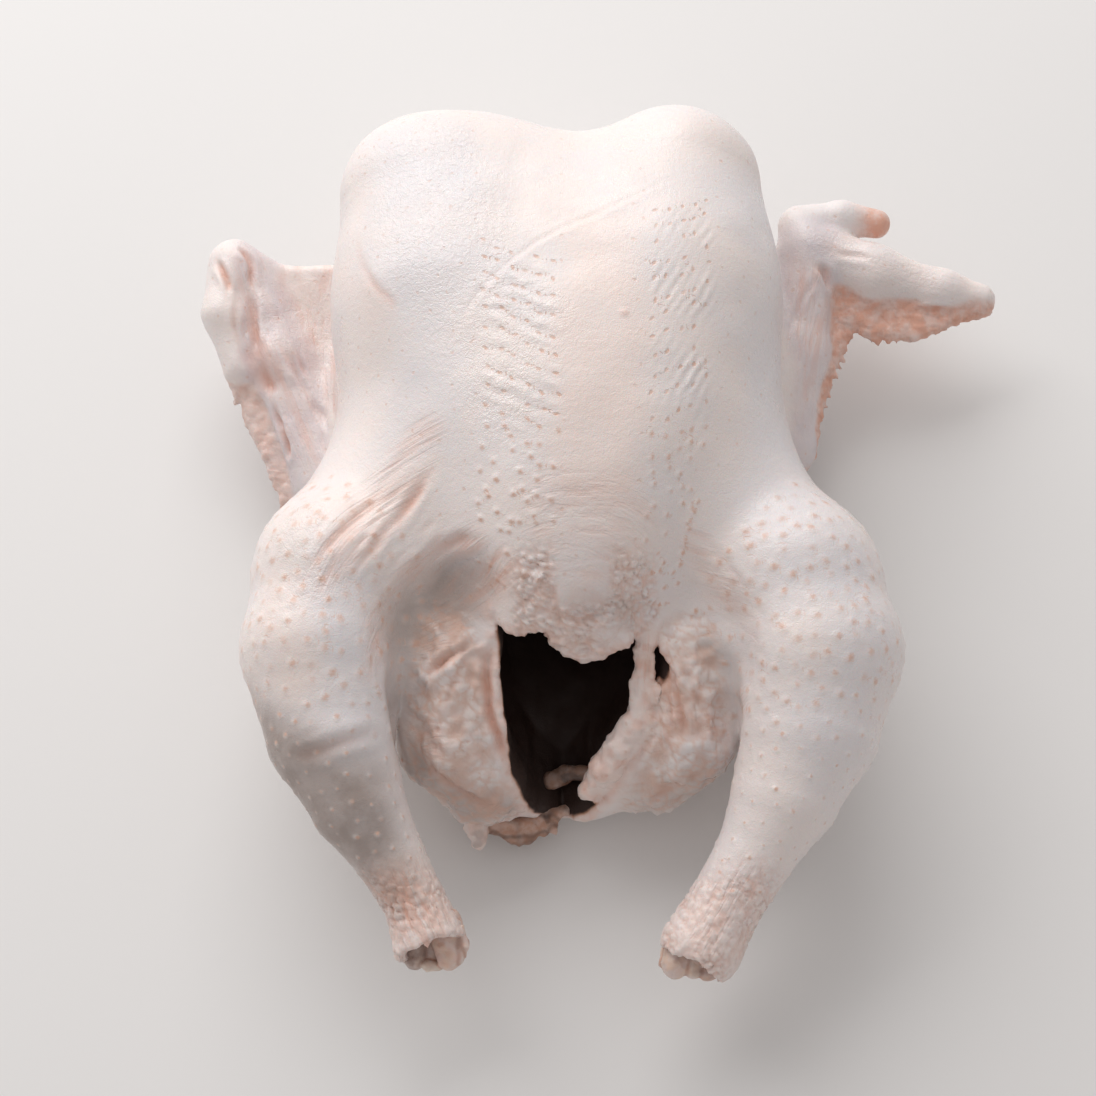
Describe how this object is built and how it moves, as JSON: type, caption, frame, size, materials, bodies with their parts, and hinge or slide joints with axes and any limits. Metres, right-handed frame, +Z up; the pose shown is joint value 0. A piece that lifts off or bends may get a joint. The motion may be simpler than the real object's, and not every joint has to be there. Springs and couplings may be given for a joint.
{
  "type": "whole raw turkey",
  "caption": "Whole raw oven-ready turkey on its back: plump breast, splayed drumsticks cut at the hocks, open body cavity at the tail end and bent wings",
  "frame": {"origin": "On the flat rest of the back, on the bird's line from neck to tail", "axes": "+X to the side of the open wing, +Y from tail to neck, +Z up from the back to the breast"},
  "size_m": [0.3965, 0.4283, 0.1533],
  "materials": {
    "skin": "moist pale pinkish-white skin with raised feather follicles"
  },
  "bodies": {
    "root": {"turkey": "skin"}
  },
  "joints": []
}
